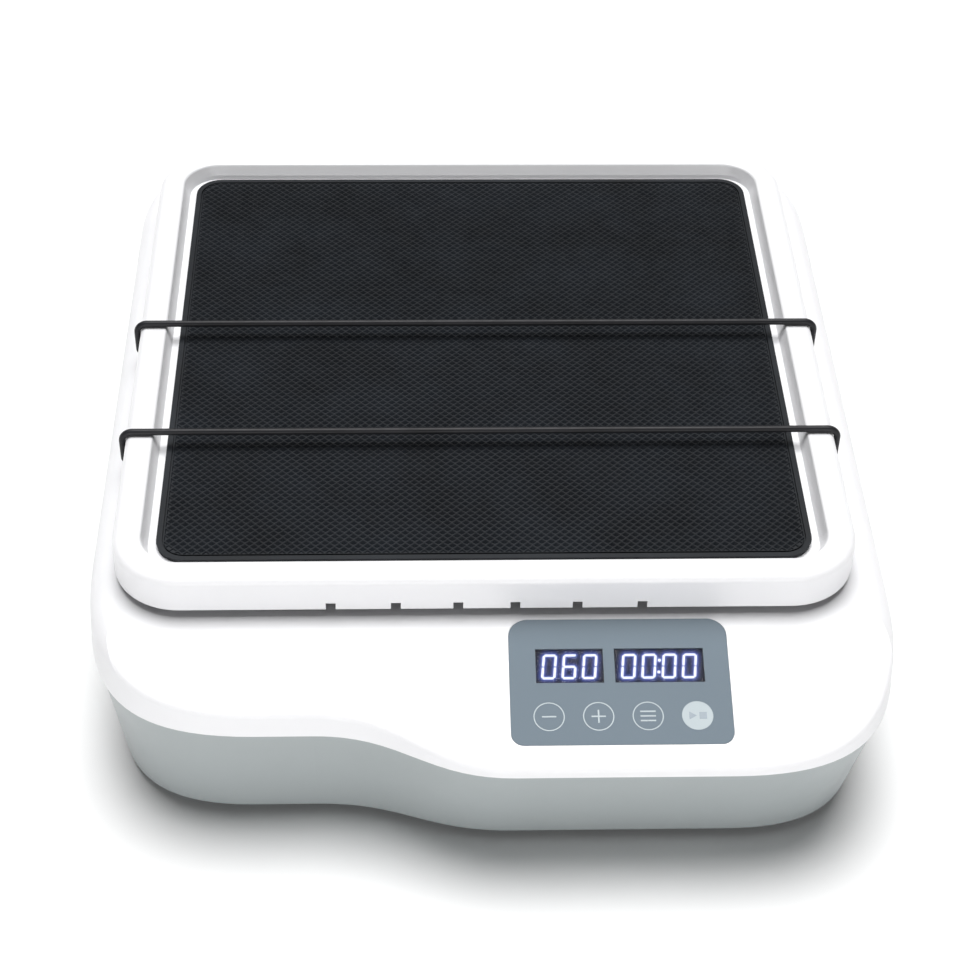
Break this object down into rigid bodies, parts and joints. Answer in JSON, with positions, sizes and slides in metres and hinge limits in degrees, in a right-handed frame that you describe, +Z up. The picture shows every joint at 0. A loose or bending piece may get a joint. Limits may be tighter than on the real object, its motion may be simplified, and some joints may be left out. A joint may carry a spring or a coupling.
{
  "type": "orbital shaker",
  "caption": "Bench orbital shaker with a rimmed square tray, cross-hatched rubber mat, elastic holding cords, sloped touch panel and eccentric belt drive",
  "frame": {"origin": "on the bench under the middle of the bounding box", "axes": "X to the right of the user, Y away from the user to the rear wall, Z up"},
  "size_m": [0.317, 0.3766, 0.0986],
  "materials": {
    "cover": "matt moulded, fine grain",
    "base": "matt moulded, fine grain",
    "tray": "smooth powder coat",
    "mat": "raised diamond pattern",
    "cord": "smooth elastic",
    "overlay": "glossy film",
    "window": "tinted clear",
    "black_plastic": "moulded",
    "foot_rubber": "soft",
    "steel": "turned",
    "zinc_screw": "zinc plated",
    "bearing_steel": "ground",
    "alloy": "machined",
    "cast": "painted casting",
    "bronze": "sintered bronze",
    "belt": "ribbed belt",
    "board": "solder-resist green",
    "foil": "shrink sleeve",
    "nickel": "nickel plated",
    "ivory_plastic": "moulded"
  },
  "bodies": {
    "base": {"base_shell": "base", "board_capacitors": "foil", "board_chips": "black_plastic", "board_connectors": "ivory_plastic", "board_screws": "zinc_screw", "chassis_plate": "steel", "chassis_screws": "zinc_screw", "control_board": "board", "dc_inlet": "black_plastic", "display_board": "board", "display_modules": "black_plastic", "display_screws": "zinc_screw", "display_windows": "window", "drive_belt": "belt", "feet": "foot_rubber", "foot_screws": "zinc_screw", "heat_sink": "alloy", "housing_screws": "zinc_screw", "idler_bearing_outers": "bearing_steel", "idler_housings": "alloy", "inlet_nut": "nickel", "main_bearing_housing": "alloy", "main_bearing_outers": "bearing_steel", "motor": "nickel", "motor_bracket": "steel", "motor_screws": "zinc_screw", "panel_overlay": "overlay", "switch_frame": "black_plastic", "top_cover": "cover", "touch_pads": "ivory_plastic"},
    "drive_crank": {"bearing_spacer": "steel", "counterweight": "cast", "counterweight_screws": "zinc_screw", "crank_bearing_inners": "bearing_steel", "driven_pulley": "alloy", "eccentric_shaft": "steel", "shaft_clips": "steel"},
    "platform": {"carrier": "alloy", "cord_knobs": "black_plastic", "front_cord": "cord", "hub_bearing_outer": "bearing_steel", "hub_clip": "steel", "mat": "mat", "pin_bushes": "bronze", "rear_cord": "cord", "tray": "tray", "tray_screws": "zinc_screw"},
    "motor_rotor": {"motor_pulley": "alloy", "motor_shaft": "steel"},
    "power_rocker": {"power_rocker": "black_plastic"},
    "idler_1": {"idler_crank_1": "steel", "idler_rings_1": "bearing_steel"},
    "idler_2": {"idler_crank_2": "steel", "idler_rings_2": "bearing_steel"},
    "idler_3": {"idler_crank_3": "steel", "idler_rings_3": "bearing_steel"},
    "idler_4": {"idler_crank_4": "steel", "idler_rings_4": "bearing_steel"}
  },
  "joints": [
    {"name": "drive", "type": "hinge", "parent": "base", "child": "drive_crank", "pos_m": [0, 0.0298, 0.06], "axis": [0, 0, 1], "continuous": true},
    {"name": "platform_pivot", "type": "hinge", "parent": "drive_crank", "child": "platform", "pos_m": [-0.0017, 0.01995, 0.08], "axis": [0, 0, 1], "continuous": true},
    {"name": "motor_spin", "type": "hinge", "parent": "base", "child": "motor_rotor", "pos_m": [-0.088, 0.0298, 0.03], "axis": [0, 0, 1], "continuous": true},
    {"name": "power_switch", "type": "hinge", "parent": "base", "child": "power_rocker", "pos_m": [0.1, 0.18261, 0.02814], "axis": [0, 0.1392, 0.9903], "range_deg": [0, 20]},
    {"name": "idler_turn_1", "type": "hinge", "parent": "base", "child": "idler_1", "pos_m": [0.095, 0.1248, 0.05], "axis": [0, 0, 1], "continuous": true},
    {"name": "idler_turn_2", "type": "hinge", "parent": "base", "child": "idler_2", "pos_m": [-0.095, 0.1248, 0.05], "axis": [0, 0, 1], "continuous": true},
    {"name": "idler_turn_3", "type": "hinge", "parent": "base", "child": "idler_3", "pos_m": [-0.095, -0.0652, 0.05], "axis": [0, 0, 1], "continuous": true},
    {"name": "idler_turn_4", "type": "hinge", "parent": "base", "child": "idler_4", "pos_m": [0.095, -0.0652, 0.05], "axis": [0, 0, 1], "continuous": true}
  ],
  "couplings": [
    {"joint": "platform_pivot", "follows": "drive", "ratio": -1},
    {"joint": "motor_spin", "follows": "drive", "ratio": 6},
    {"joint": "idler_turn_1", "follows": "drive", "ratio": 1},
    {"joint": "idler_turn_2", "follows": "drive", "ratio": 1},
    {"joint": "idler_turn_3", "follows": "drive", "ratio": 1},
    {"joint": "idler_turn_4", "follows": "drive", "ratio": 1}
  ]
}
